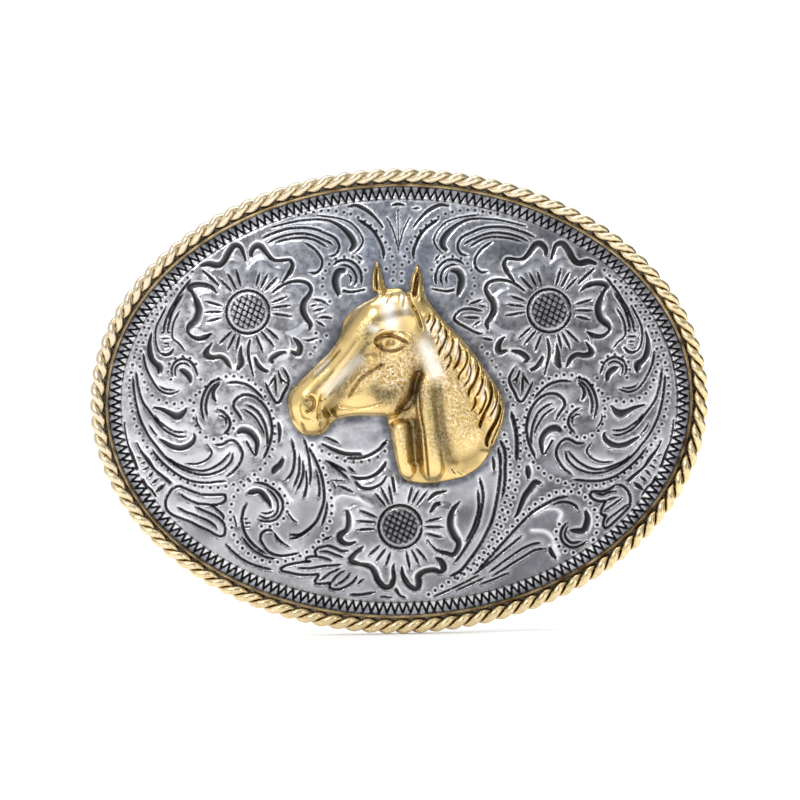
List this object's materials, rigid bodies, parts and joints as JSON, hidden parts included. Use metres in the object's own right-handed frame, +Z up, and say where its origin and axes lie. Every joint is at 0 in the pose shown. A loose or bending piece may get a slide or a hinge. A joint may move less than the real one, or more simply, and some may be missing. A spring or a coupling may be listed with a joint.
{
  "type": "western belt buckle",
  "caption": "Oval western belt buckle: domed engraved silver plate with flowers, gold twisted-wire edge and gold horse head; strap loop and hook peg on the back.",
  "frame": {"origin": "the buckle's middle, on the plane of the hinge axis, which is also the middle of the belt's thickness behind the plate", "axes": "+X to the wearer's left, which is the viewer's right and the side of the strap loop; +Z up; the engraved face looks towards -Y"},
  "size_m": [0.095, 0.0183, 0.0712],
  "materials": {
    "face_silver": "polished silver plate, engraving blackened",
    "rim_gold": "pale gold plate, polished",
    "figure_gold": "gold plate, polished, with fine cast grain on the cheek and neck",
    "back_nickel": "satin nickel plate",
    "steel": "satin"
  },
  "bodies": {
    "buckle": {"back_plate": "back_nickel", "face_plate": "face_silver", "rim_wire": "rim_gold", "rope_edge": "rim_gold", "horse_head": "figure_gold", "head_posts": "figure_gold", "post_washers": "steel", "hinge_lug_top": "back_nickel", "hinge_lug_bottom": "back_nickel", "lug_rivets": "steel", "hinge_pin": "steel", "hook_base": "back_nickel", "hook_peg": "back_nickel", "hook_rivets": "steel"},
    "loop": {"strap_loop": "back_nickel"}
  },
  "joints": [
    {"name": "loop_swing", "type": "hinge", "parent": "buckle", "child": "loop", "pos_m": [0.016, 0, 0], "axis": [0, 0, 1], "range_deg": [-2, 190]}
  ]
}
